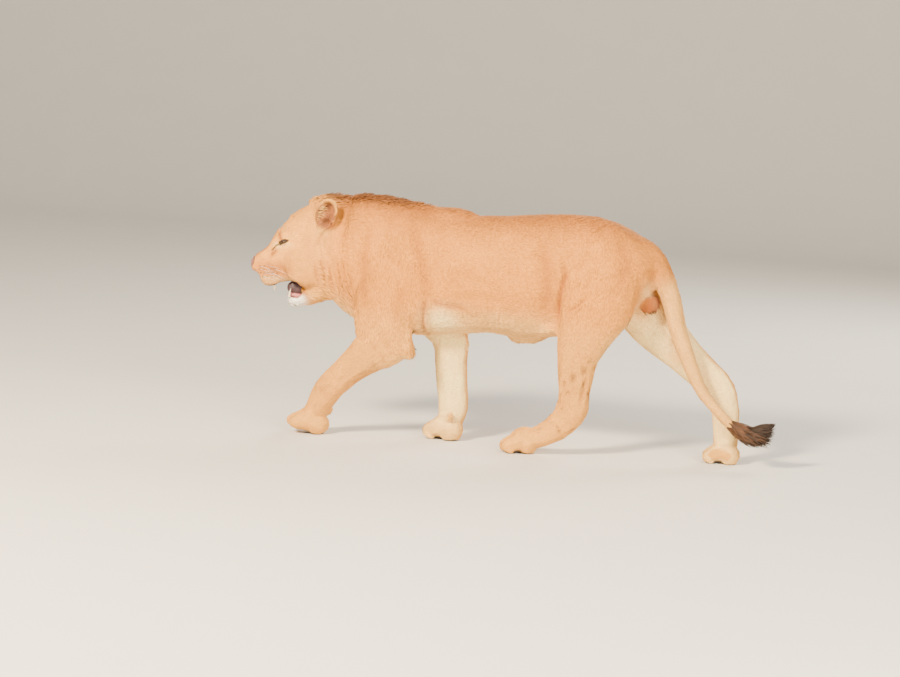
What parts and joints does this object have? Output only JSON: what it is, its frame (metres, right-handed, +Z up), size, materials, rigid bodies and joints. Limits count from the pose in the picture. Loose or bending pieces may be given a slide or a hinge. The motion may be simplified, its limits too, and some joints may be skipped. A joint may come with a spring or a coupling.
{
  "type": "lion",
  "caption": "Life-size still model of a young male lion at a walk, short mane, mouth a little open, standing on the flats of its paws.",
  "frame": {"origin": "middle of the bounding box's underside, on the floor between the four paws", "axes": "the lion walks towards -X, its left side is towards -Y, +Z up"},
  "size_m": [2.188, 0.3518, 0.9896],
  "materials": {
    "coat": "short sandy fur lying flat along the body, paler below",
    "chin": "short whitish fur",
    "tuft": "long dark brown hair in locks",
    "scrotum": "short rusty fur",
    "nose": "bare skin, finely pebbled, slightly moist",
    "eye": "wet amber eye with a round pupil",
    "tongue": "moist pink, finely rough",
    "tooth": "polished ivory"
  },
  "bodies": {
    "root": {"head": "coat", "jaw": "chin", "ear_left": "coat", "ear_right": "coat", "eye_left": "eye", "eye_right": "eye", "nose": "nose", "tongue": "tongue", "upper_canine_left": "tooth", "upper_canine_right": "tooth", "lower_canine_left": "tooth", "lower_canine_right": "tooth", "neck": "coat", "shoulders": "coat", "belly": "coat", "hindquarters": "coat", "foreleg_left": "coat", "foreleg_right": "coat", "forepaw_left": "coat", "forepaw_right": "coat", "hindleg_left": "coat", "hindleg_right": "coat", "hindpaw_left": "coat", "hindpaw_right": "coat", "tail_root": "coat", "tail_middle": "coat", "tail_tip": "coat", "tail_tuft": "tuft", "scrotum": "scrotum"}
  },
  "joints": []
}
